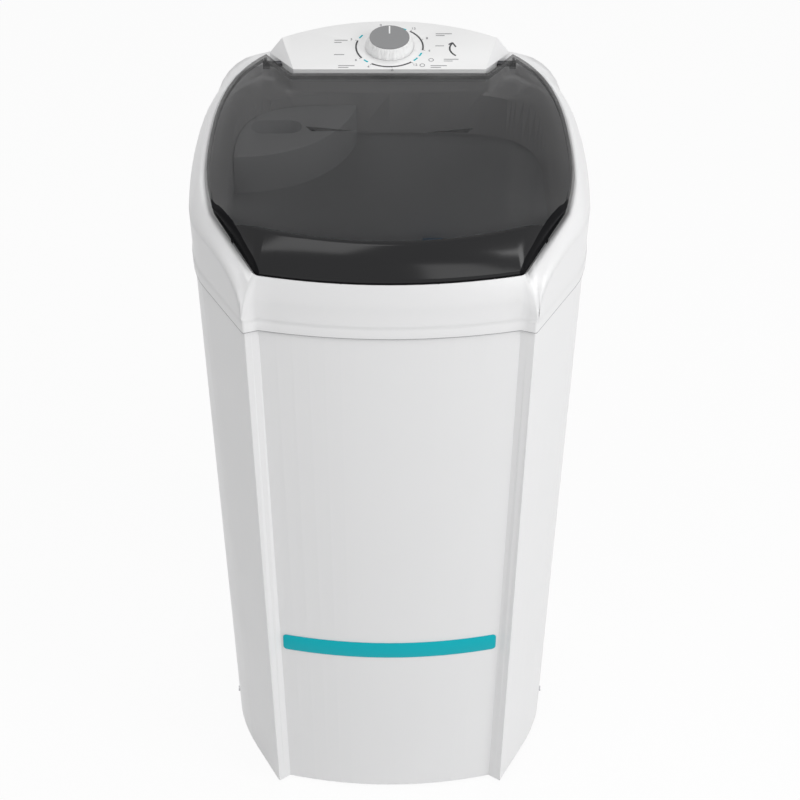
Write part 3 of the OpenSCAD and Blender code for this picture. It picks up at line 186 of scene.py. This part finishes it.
# The lid's window ends in front where y less WINDOW_BOW times x squared reaches WINDOW_END.
# Its corners carry painted shade, a black band in place of the shadow in the gap beside the deck's arms;
# it starts where |x| times the first factor below, less y times the second, reaches the start below.
WINDOW_BOW = 1.52
WINDOW_END = (-0.2440, -0.2430)
WINDOW_ALPHA = 0.48
SHADE_BAND_X, SHADE_BAND_Y = 0.880, 0.475
SHADE_BAND_START = (0.2556, 0.2560)


def smoked():
    """Smoked plastic of the lid: clear in the window and opaque in front of its bowed edge.

    Painted shade: a dull black band, opaque and with little shine, runs along the cut front corners in
    place of the shadow in the gap beside the deck's arms.
    """
    m, tree, s = new_material("smoked_clear_plastic")
    broad = object_noise(tree, 7, 3)
    tree.links.new(colour_between(tree, broad, (0.008, 0.008, 0.009), (0.010, 0.010, 0.011)),
                   s.inputs["Base Color"])
    tree.links.new(between(tree, object_noise(tree, 20, 1), 0.15, 0.18), s.inputs["Roughness"])
    where = tree.nodes.new("ShaderNodeTexCoord")
    along = tree.nodes.new("ShaderNodeSeparateXYZ")
    tree.links.new(where.outputs["Object"], along.inputs[0])
    x, y = along.outputs["X"], along.outputs["Y"]
    bow = maths(tree, "MULTIPLY_ADD", maths(tree, "MULTIPLY", x, x), -WINDOW_BOW, y)
    # Painted shade: along the cut front corners the lid turns opaque black and loses its shine, in place
    # of the shadow in the gap beside the deck's arms.
    shade_band_across = maths(tree, "MULTIPLY", maths(tree, "ABSOLUTE", x), SHADE_BAND_X)
    shade_band_reach = maths(tree, "MULTIPLY_ADD", y, -SHADE_BAND_Y, shade_band_across)
    opaque = maths(tree, "MAXIMUM", between(tree, bow, 1.0, WINDOW_ALPHA, WINDOW_END),
                   between(tree, shade_band_reach, 0.0, 1.0, SHADE_BAND_START))
    tree.links.new(opaque, s.inputs["Alpha"])
    tree.links.new(between(tree, shade_band_reach, 0.26, 0.02, SHADE_BAND_START), s.inputs["Specular IOR Level"])
    return m


finishes = {
    "white_plastic": moulded("white_moulding", (0.80, 0.80, 0.805), 0.32, depth=0.000003, vary=0.006),
    "panel_white": moulded("white_panel", (0.82, 0.82, 0.82), 0.36, depth=0.000003, vary=0.006),
    "teal": moulded("teal_strip", (0.002, 0.43, 0.50), 0.38, depth=0.000003, vary=0.02, spec=0.15),
    "dark_print": moulded("dark_ink", (0.035, 0.035, 0.04), 0.5, vary=0.1),
    "smoked_plastic": smoked(),
    "dark_plastic": moulded("dark_moulding", (0.06, 0.06, 0.065), 0.5, depth=0.00008, vary=0.1),
    "grey_plastic": moulded("grey_moulding", (0.42, 0.43, 0.44), 0.42, depth=0.00005),
    "tub_plastic": moulded("tub_moulding", (0.80, 0.81, 0.82), 0.34, depth=0.00003),
    "knob_white": moulded("knob_moulding", (0.86, 0.86, 0.86), 0.36, depth=0.000005),
    "knob_grey": moulded("knob_disc", (0.25, 0.252, 0.256), 0.45, grain=900, spec=0.3),
    "filter_blue": moulded("filter_mesh", (0.10, 0.28, 0.50), 0.5, grain=700, depth=0.0001),
    "rubber": moulded("black_rubber", (0.030, 0.030, 0.032), 0.68, depth=0.00008, vary=0.15),
    "grey_ink": moulded("grey_ink", (0.20, 0.20, 0.21), 0.5, vary=0.1),
    # Mid grey for the painted shadow line under the deck's skirt.
    "shadow_strip_grey": moulded("shadow_strip_grey", (0.34, 0.34, 0.35), 0.6, vary=0.05),
    "steel": brushed("zinc_steel", (0.58, 0.58, 0.60), 0.30),
    "dark_steel": brushed("blackened_steel", (0.07, 0.07, 0.075), 0.45),
    "sheet_metal": moulded("galvanised_sheet", (0.50, 0.51, 0.52), 0.42, grain=55, metal=0.9,
                           vary=0.16, depth=0.00004),
    "aluminium": moulded("cast_aluminium", (0.60, 0.61, 0.62), 0.44, grain=260, metal=1.0,
                         vary=0.08, depth=0.00012),
    "bronze": brushed("sintered_bronze", (0.55, 0.36, 0.16), 0.42),
    "copper": brushed("varnished_copper", (0.52, 0.20, 0.07), 0.36, (1, 1, 12), 90),
}
for node, thing in nodes.items():
    thing.data.materials.clear()
    thing.data.materials.append(finishes["dark_steel" if node == "hinge_pins" else slots[node]])


# Handling of objects, the same for all pieces


def only(obj):
    """Makes obj the one selected and active object."""
    bpy.ops.object.select_all(action="DESELECT")
    obj.select_set(True)
    bpy.context.view_layer.objects.active = obj


def pick(mesh, kind, test):
    """Selects just the faces, edges or vertices that pass the test, in edit mode."""
    bpy.ops.mesh.select_mode(type=kind)
    bpy.ops.mesh.select_all(action="DESELECT")
    bm = bmesh.from_edit_mesh(mesh)
    group = {"FACE": bm.faces, "EDGE": bm.edges, "VERT": bm.verts}[kind]
    for item in group:
        if test(item):
            item.select = True
    bm.select_flush_mode()
    bmesh.update_edit_mesh(mesh)


def finished(obj, name, slot, body, finish=None):
    """Names a piece, gives it its material and lets it move with its body."""
    obj.name = name
    obj.data.materials.clear()
    obj.data.materials.append(finishes[finish or slot])
    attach(obj, body)
    return obj


# Pieces that follow the model's own surfaces, smoothed


MERGE = 0.00002  # points of the model nearer than this are one point
RIDGE_ROUNDING = 0.0016
# Height of the bottom of the deck's skirt, and thickness of the grey layer under it that paints the
# shadow in the gap there.
SEAM_Z, SHADOW_STRIP_THICK = 0.810, 0.0011


def open_copy(node, name, merge=MERGE):
    """A copy of a node's mesh with its points joined up, left open in edit mode."""
    piece = bpy.data.objects.new(name, nodes[node].data.copy())
    scene.collection.objects.link(piece)
    only(piece)
    bpy.ops.object.mode_set(mode="EDIT")
    bpy.ops.mesh.select_all(action="SELECT")
    bpy.ops.mesh.remove_doubles(threshold=merge)
    return piece


def fill_anew(piece, test):
    """Takes out the faces that pass the test and fills their holes with even triangles."""
    pick(piece.data, "FACE", test)
    bpy.ops.mesh.delete(type="FACE")
    pick(piece.data, "EDGE", lambda e: e.is_boundary)
    bpy.ops.mesh.fill_holes(sides=0)
    bpy.ops.mesh.quads_convert_to_tris(quad_method="BEAUTY", ngon_method="BEAUTY")


def smooth_copy(node, name, angle, bevel=0.0, merge=MERGE, flat=0.4, anew=None):
    """A node's smoothed stand-in: its flat faces joined, its edges softened and shaded smooth.

    With flat 0 all faces stay, and the shading follows the larger ones.
    """
    piece = open_copy(node, name, merge)
    if flat:
        bpy.ops.mesh.dissolve_limited(angle_limit=math.radians(flat))
    if anew:
        fill_anew(piece, anew)
    bpy.ops.object.mode_set(mode="OBJECT")
    if bevel:
        soft = piece.modifiers.new("soft_edges", "BEVEL")
        soft.width = bevel
        soft.segments = 2
        soft.limit_method = "ANGLE"
        soft.angle_limit = math.radians(angle)
        soft.harden_normals = False
        soft.use_clamp_overlap = True
        bpy.ops.object.modifier_apply(modifier=soft.name)
    bpy.ops.object.shade_smooth_by_angle(angle=math.radians(angle))
    if not flat:
        even = piece.modifiers.new("even_shading", "WEIGHTED_NORMAL")
        even.keep_sharp = True
        bpy.ops.object.modifier_apply(modifier=even.name)
    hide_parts(node)
    return finished(piece, name, slots[node], nodes[node]["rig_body"])


def soften_ridges(piece):
    """Rounds the long upright edges of the cabinet's two corner ridges."""
    only(piece)
    bpy.ops.object.mode_set(mode="EDIT")
    pick(piece.data, "EDGE", lambda e: e.is_convex and e.calc_face_angle(0) > math.radians(40)
         and abs(e.verts[0].co.z - e.verts[1].co.z) > 0.3
         and all(v.co.y < -0.2 and abs(v.co.x) > 0.157 for v in e.verts))
    bpy.ops.mesh.bevel(offset=RIDGE_ROUNDING, segments=3, affect="EDGES", clamp_overlap=False)
    bpy.ops.object.mode_set(mode="OBJECT")
    bpy.ops.object.shade_smooth_by_angle(angle=math.radians(24))


def deck_shadow_strip():
    """A painted shadow line between deck and cabinet: a thin grey layer under the deck's skirt in place
    of the shade in the gap there.
    """
    piece = open_copy("top_deck", "deck_shadow_strip")
    pick(piece.data, "FACE", lambda f: f.normal.z >= -0.95
         or abs(f.calc_center_median().z - SEAM_Z) >= 0.0005)
    bpy.ops.mesh.delete(type="FACE")
    bpy.ops.object.mode_set(mode="OBJECT")
    layer = piece.modifiers.new("layer", "SOLIDIFY")
    layer.thickness = SHADOW_STRIP_THICK
    layer.offset = 1
    bpy.ops.object.modifier_apply(modifier=layer.name)
    bpy.ops.object.shade_smooth_by_angle(angle=math.radians(40))
    finished(piece, "deck_shadow_strip", "rubber", nodes["top_deck"]["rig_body"], "shadow_strip_grey")


soften_ridges(smooth_copy("cabinet", "cabinet_shell", 24, merge=0.00045))
smooth_copy("top_deck", "deck_shell", 32, flat=0)
# The middle of the lid's window is filled anew, because the model's faces overlap there
smooth_copy("lid", "lid_shell", 30, flat=0,
            anew=lambda f: all(abs(v.co.x) < 0.14 and -0.11 < v.co.y < 0.035 for v in f.verts))
deck_shadow_strip()
smooth_copy("tub", "tub_shell", 40)
for node, angle, bevel in (("front_band", 30, 0.0003), ("back_cover", 30, 0.0006), ("tub_seal", 40, 0),
                           ("drain_hose", 50, 0), ("mains_lead", 60, 0), ("motor_lead", 60, 0),
                           ("detergent_tray", 30, 0.0005), ("base_frame", 30, 0.0006),
                           ("console_housing", 30, 0.0007), ("control_panel", 30, 0.0004),
                           ("knob", 34, 0), ("pulsator", 34, 0.0006)):
    smooth_copy(node, node + "_smooth", angle, bevel)


# Small pieces made here: each starts at its place and ends with its object at the origin


def start():
    """Leaves object mode with nothing selected, ready for a new primitive."""
    if bpy.context.mode != "OBJECT":
        bpy.ops.object.mode_set(mode="OBJECT")
    bpy.ops.object.select_all(action="DESELECT")


def settle(obj, place=None):
    """Moves obj by that matrix, then puts its place into its mesh."""
    if place is not None:
        obj.matrix_world = place @ obj.matrix_world
    only(obj)
    bpy.ops.object.transform_apply(location=True, rotation=True, scale=True)
    return obj


def join(parts):
    """All parts as one object, the first of them."""
    start()
    for part in parts:
        part.select_set(True)
    bpy.context.view_layer.objects.active = parts[0]
    bpy.ops.object.join()
    return bpy.context.object


def copy_of(obj, place):
    """A copy with its own mesh, moved by that matrix."""
    twin = bpy.data.objects.new(obj.name, obj.data.copy())
    scene.collection.objects.link(twin)
    twin.data.transform(place)
    return twin


# Print on the control panel: plain minutes, short marks and a turning arrow


PANEL_TILT = math.radians(7)
KNOB_MIDDLE = Vector((0, 0.214, 0.943756))
PANEL_PLACE = Matrix.Translation(KNOB_MIDDLE) @ Matrix.Rotation(PANEL_TILT, 4, "X")
INK = 0.00026  # height of the printed marks
NUMERAL_SIZE, NUMERAL_INK = 0.0062, 0.00012
TICK = (0.0472, 0.0490)  # from and to, from the knob's middle
TICK_LINE = 0.0007


def on_panel(x, y, turn=0.0):
    """The place of a mark at x and y from the knob's middle, turned in the panel's plane."""
    return PANEL_PLACE @ Matrix.Translation((x, y, 0)) @ Matrix.Rotation(turn, 4, "Z")


def thicken():
    """Gives the flat mark in edit mode its height, and ends edit mode."""
    bpy.ops.mesh.select_all(action="SELECT")
    bpy.ops.mesh.extrude_region_move(TRANSFORM_OT_translate={"value": (0, 0, INK)})
    bpy.ops.mesh.select_all(action="SELECT")
    bpy.ops.mesh.normals_make_consistent(inside=False)
    bpy.ops.object.mode_set(mode="OBJECT")


def numeral(text, x, y):
    """A printed number, centred at x and y."""
    start()
    bpy.ops.object.text_add(location=(x, y, 0.00014))
    word = bpy.context.object
    word.data.body = text
    word.data.size = NUMERAL_SIZE
    word.data.align_x = "CENTER"
    word.data.align_y = "CENTER"
    word.data.extrude = NUMERAL_INK
    word.data.resolution_u = 4
    bpy.ops.object.convert(target="MESH")
    return settle(bpy.context.object, PANEL_PLACE)


def printed_bar(width, height, x, y, turn=0.0):
    """A short printed mark with rounded corners."""
    start()
    bpy.ops.mesh.primitive_plane_add(size=1)
    bar = bpy.context.object
    bar.scale = (width, height, 1)
    settle(bar)
    bpy.ops.object.mode_set(mode="EDIT")
    bpy.ops.mesh.select_all(action="SELECT")
    bpy.ops.mesh.bevel(offset=min(width, height) * 0.45, segments=3, affect="VERTICES")
    thicken()
    return settle(bar, on_panel(x, y, turn))


def printed_ring(radius, line, x, y):
    """A small open circle, one of the plain marks beside the dial."""
    start()
    bpy.ops.mesh.primitive_circle_add(vertices=28, radius=radius, location=(x, y, 0))
    ring = bpy.context.object
    settle(ring)
    bpy.ops.object.mode_set(mode="EDIT")
    bpy.ops.mesh.select_mode(type="VERT")
    bpy.ops.mesh.select_all(action="SELECT")
    bpy.ops.mesh.extrude_region()
    inner = (radius - line) / radius
    bpy.ops.transform.resize(value=(inner, inner, 1), center_override=(x, y, 0))
    thicken()
    return settle(ring, PANEL_PLACE)


def turning_arrow():
    """A curved arrow that shows which way the knob turns, its open head at the top."""
    start()
    radius, line = 0.0205, 0.0023
    bpy.ops.mesh.primitive_plane_add(size=1, location=(-radius, 0, 0))
    shaft = bpy.context.object
    shaft.scale = (line, 0.0008, 1)
    settle(shaft)
    bpy.ops.object.mode_set(mode="EDIT")
    pick(shaft.data, "EDGE", lambda e: all(v.co.y > 0 for v in e.verts))
    bpy.ops.mesh.spin(steps=16, angle=math.radians(88), center=(0, 0, 0), axis=(0, 0, 1))
    thicken()
    settle(shaft, on_panel(0.102, -0.004, math.radians(51)))
    barbs = [printed_bar(0.0075, 0.0021, 0.0830, 0.0074, math.radians(39)),
             printed_bar(0.0110, 0.0021, 0.0877, 0.0045, math.radians(-66))]
    finished(join([shaft] + barbs), "turning_arrow", "dark_print", "cabinet")


def dial_print():
    """The minutes round the dial with their ticks, two open circles and plain bars for words."""
    marks = []
    for text, turn, reach in (("12", 38, 0.0535), ("8", 69, 0.0545), ("4", 100, 0.0545),
                              ("12", 140, 0.0535), ("8", 176, 0.0535), ("4", 212, 0.0535),
                              ("6", 236, 0.0545), ("3", 288, 0.0545)):
        a = math.radians(turn)
        marks.append(numeral(text, reach * math.sin(a), reach * math.cos(a)))
        mid = sum(TICK) / 2
        marks.append(printed_bar(TICK_LINE, TICK[1] - TICK[0], mid * math.sin(a), mid * math.cos(a), -a))
    marks.append(numeral("0", -0.012, 0.0500))
    for x, y in ((0.0560, -0.0300), (0.0440, -0.0420)):
        marks.append(printed_ring(0.0036, 0.0008, x, y))
    for x, y, width in ((0.083, -0.0285, 0.020), (0.079, -0.0325, 0.012), (0.066, -0.0430, 0.022),
                        (0.062, -0.0470, 0.014), (-0.066, 0.0150, 0.018), (-0.070, 0.0100, 0.010),
                        (-0.068, -0.0180, 0.014), (-0.058, -0.0430, 0.022), (-0.062, -0.0470, 0.014),
                        (0.074, 0.0300, 0.022), (0.069, 0.0260, 0.012), (0.068, 0.0020, 0.012)):
        marks.append(printed_bar(width, 0.0011, x, y))
    finished(join(marks), "dial_print", "dark_print", "cabinet", "grey_ink")


dial_print()
turning_arrow()


# Recessed crosses cut into the screw heads


RECESS_WIDTH, RECESS_DEPTH = 0.0042, 0.0012


def islands(obj):
    """The corner points of each loose solid in a mesh, as lists of vectors."""
    bm = bmesh.new()
    bm.from_mesh(obj.data)
    bmesh.ops.remove_doubles(bm, verts=bm.verts, dist=0.00001)
    seen, groups = set(), []
    for v in bm.verts:
        if v.index in seen:
            continue
        stack, group = [v], []
        seen.add(v.index)
        while stack:
            w = stack.pop()
            group.append(w.co.copy())
            for e in w.link_edges:
                o = e.other_vert(w)
                if o.index not in seen:
                    seen.add(o.index)
                    stack.append(o)
        groups.append(group)
    bm.free()
    return groups


def head_place(points):
    """The middle of a screw's head face, and the way that it looks.

    The screw's axis is the direction in which its points spread most, and the head is at the
    end where they reach further out from it.
    """
    mid = sum(points, Vector()) / len(points)
    far = max(points, key=lambda p: (p - mid).length)
    spread = Matrix(((0, 0, 0), (0, 0, 0), (0, 0, 0)))
    for p in points:
        d = p - mid
        for i in range(3):
            for k in range(3):
                spread[i][k] += d[i] * d[k]
    axis = (far - mid).normalized()
    for _ in range(60):
        axis = (spread @ axis).normalized()
    reach = [(p - mid).dot(axis) for p in points]
    wide = [max(((p - mid) - axis * r).length for p, r in zip(points, reach) if abs(r - end) < 0.0004)
            for end in (max(reach), min(reach))]
    if wide[1] > wide[0]:
        return mid + axis * min(reach), -axis
    return mid + axis * max(reach), axis


def cross_cutter():
    """A cross of two blunt blades, narrower at its tip."""
    start()
    bpy.ops.mesh.primitive_cube_add(size=1)
    blade = bpy.context.object
    blade.scale = (RECESS_WIDTH, RECESS_WIDTH * 0.24, RECESS_DEPTH * 2)
    settle(blade)
    bpy.ops.object.mode_set(mode="EDIT")
    pick(blade.data, "FACE", lambda f: f.normal.z < -0.9)
    bpy.ops.transform.resize(value=(0.7, 0.7, 1))
    bpy.ops.object.mode_set(mode="OBJECT")
    other = copy_of(blade, Matrix.Rotation(math.radians(90), 4, "Z"))
    only(blade)
    weld = blade.modifiers.new("weld", "BOOLEAN")
    weld.operation = "UNION"
    weld.solver = "EXACT"
    weld.object = other
    bpy.ops.object.modifier_apply(modifier=weld.name)
    bpy.data.objects.remove(other)
    return blade


def crossed_screws(node):
    """A node's screws with a recess in each head."""
    piece = smooth_copy(node, node + "_crossed", 30, 0.00025)
    cutter = cross_cutter()
    tools = []
    for points in islands(nodes[node]):
        mid, way = head_place(points)
        turn = way.to_track_quat("Z", "Y").to_matrix().to_4x4()
        tools.append(copy_of(cutter, Matrix.Translation(mid) @ turn))
    bpy.data.objects.remove(cutter)
    tool = join(tools)
    only(piece)
    cut = piece.modifiers.new("recess", "BOOLEAN")
    cut.solver = "EXACT"
    cut.object = tool
    bpy.ops.object.modifier_apply(modifier=cut.name)
    bpy.data.objects.remove(tool)


for node in ("back_cover_screws", "deck_screws", "base_screws", "console_screws", "tub_screws",
             "timer_screws", "housing_screws"):
    crossed_screws(node)


# Louvres pressed into the back cover


LOUVRE_X = 0.055  # middle of each column of louvres, from the machine's middle
LOUVRE_LOW, LOUVRE_STEP = 0.200, 0.030


def back_face(z):
    """The y of the service cover's outer face at that height, at a column of louvres."""
    bm = bmesh.new()
    bm.from_mesh(nodes["back_cover"].data)
    tree = BVHTree.FromBMesh(bm)
    bm.free()
    return tree.ray_cast(Vector((LOUVRE_X, 0.4, z)), Vector((0, -1, 0)))[0].y


def louvre_hoods():
    """Hoods over the vents of the service cover, open underneath."""
    start()
    bpy.ops.mesh.primitive_cube_add(size=1, location=(0, 0.0025, 0))
    hood = bpy.context.object
    hood.scale = (0.078, 0.005, 0.011)
    settle(hood)
    bpy.ops.object.mode_set(mode="EDIT")
    pick(hood.data, "EDGE", lambda e: all(v.co.y > 0.004 and v.co.z > 0 for v in e.verts))
    bpy.ops.mesh.bevel(offset=0.0045, segments=5, affect="EDGES")
    pick(hood.data, "FACE", lambda f: f.normal.z < -0.9)
    bpy.ops.mesh.inset(thickness=0.0011)
    bpy.ops.mesh.extrude_region_move(TRANSFORM_OT_translate={"value": (0, 0, 0.006)})
    bpy.ops.object.mode_set(mode="OBJECT")
    hoods = []
    for side in (-1, 1):
        for row in range(5):
            z = LOUVRE_LOW + LOUVRE_STEP * row
            hoods.append(copy_of(hood, Matrix.Translation((side * LOUVRE_X, back_face(z) - 0.0004, z))))
    bpy.data.objects.remove(hood)
    piece = join(hoods)
    bpy.ops.object.shade_smooth_by_angle(angle=math.radians(30))
    finished(piece, "louvre_hoods", "white_plastic", "cabinet")


louvre_hoods()


# Floor, room and lamps


FLOOR_GLOW = 0.93  # share of plain white in the floor as the camera sees it
ROOM_LIGHT = 0.395  # strength of the room's light on the machine


def seen_ray(tree):
    """1 for a ray from the camera, a reflection or clear plastic, and 0 for light on the object."""
    path = tree.nodes.new("ShaderNodeLightPath")
    total = path.outputs["Is Camera Ray"]
    for kind in ("Is Glossy Ray", "Is Transmission Ray"):
        add = tree.nodes.new("ShaderNodeMath")
        add.operation = "ADD"
        add.use_clamp = True
        tree.links.new(total, add.inputs[0])
        tree.links.new(path.outputs[kind], add.inputs[1])
        total = add.outputs[0]
    return total


def add_floor():
    """A pale floor that blends into the white background but still takes shadows."""
    bpy.ops.object.select_all(action="DESELECT")
    bpy.ops.mesh.primitive_plane_add(size=14, location=(0, 0, 0))
    floor = bpy.context.object
    floor.name = "floor"
    m, tree, s = new_material("pale_floor")
    tree.links.new(colour_between(tree, object_noise(tree, 3, 3), (0.84, 0.84, 0.84),
                                  (0.86, 0.86, 0.86)), s.inputs["Base Color"])
    s.inputs["Roughness"].default_value = 0.8
    glow = tree.nodes.new("ShaderNodeEmission")
    glow.inputs["Strength"].default_value = 1.0
    mix = tree.nodes.new("ShaderNodeMixShader")
    tree.links.new(maths(tree, "MULTIPLY", seen_ray(tree), FLOOR_GLOW), mix.inputs["Fac"])
    tree.links.new(s.outputs[0], mix.inputs[1])
    tree.links.new(glow.outputs[0], mix.inputs[2])
    tree.links.new(mix.outputs[0], tree.nodes["Material Output"].inputs["Surface"])
    floor.data.materials.append(m)


def add_world():
    """A white room: plain white where it is seen, softer where it lights the machine."""
    world = bpy.data.worlds.new("studio")
    scene.world = world
    world.use_nodes = True
    tree = world.node_tree
    tree.nodes.clear()
    out = tree.nodes.new("ShaderNodeOutputWorld")
    mix = tree.nodes.new("ShaderNodeMixShader")
    tree.links.new(seen_ray(tree), mix.inputs["Fac"])
    for place, strength in ((1, ROOM_LIGHT), (2, 1.0)):
        light = tree.nodes.new("ShaderNodeBackground")
        light.inputs["Color"].default_value = (1, 1, 1, 1)
        light.inputs["Strength"].default_value = strength
        tree.links.new(light.outputs[0], mix.inputs[place])
    tree.links.new(mix.outputs[0], out.inputs[0])


def add_lamp(name, at, aim, size, power):
    """A rectangular lamp of that size in metres and power in watts, aimed at a point."""
    data = bpy.data.lights.new(name, "AREA")
    data.shape = "RECTANGLE"
    data.size, data.size_y = size
    data.energy = power
    lamp = bpy.data.objects.new(name, data)
    scene.collection.objects.link(lamp)
    lamp.location = at
    lamp.rotation_euler = (Vector(aim) - Vector(at)).to_track_quat("-Z", "Y").to_euler()
    return lamp


add_camera()
add_floor()
add_world()
add_lamp("key", (2.9, -1.7, 2.6), (0, 0, 0.6), (1.6, 2.0), 54)
add_lamp("front", (1.4, -3.1, 1.5), (0, 0, 0.6), (1.6, 1.6), 17.5)
# The top lamp leaves no mirror image along the front edge of the lid's window
add_lamp("top", (0.2, 1.35, 2.95), (0, 0, 0.9), (1.2, 0.7), 13).visible_glossy = False
add_lamp("soft_left", (-0.9, -1.2, 3.3), (0, -0.2, 0.9), (1.6, 1.6), 22)
scene.view_settings.view_transform = "Standard"
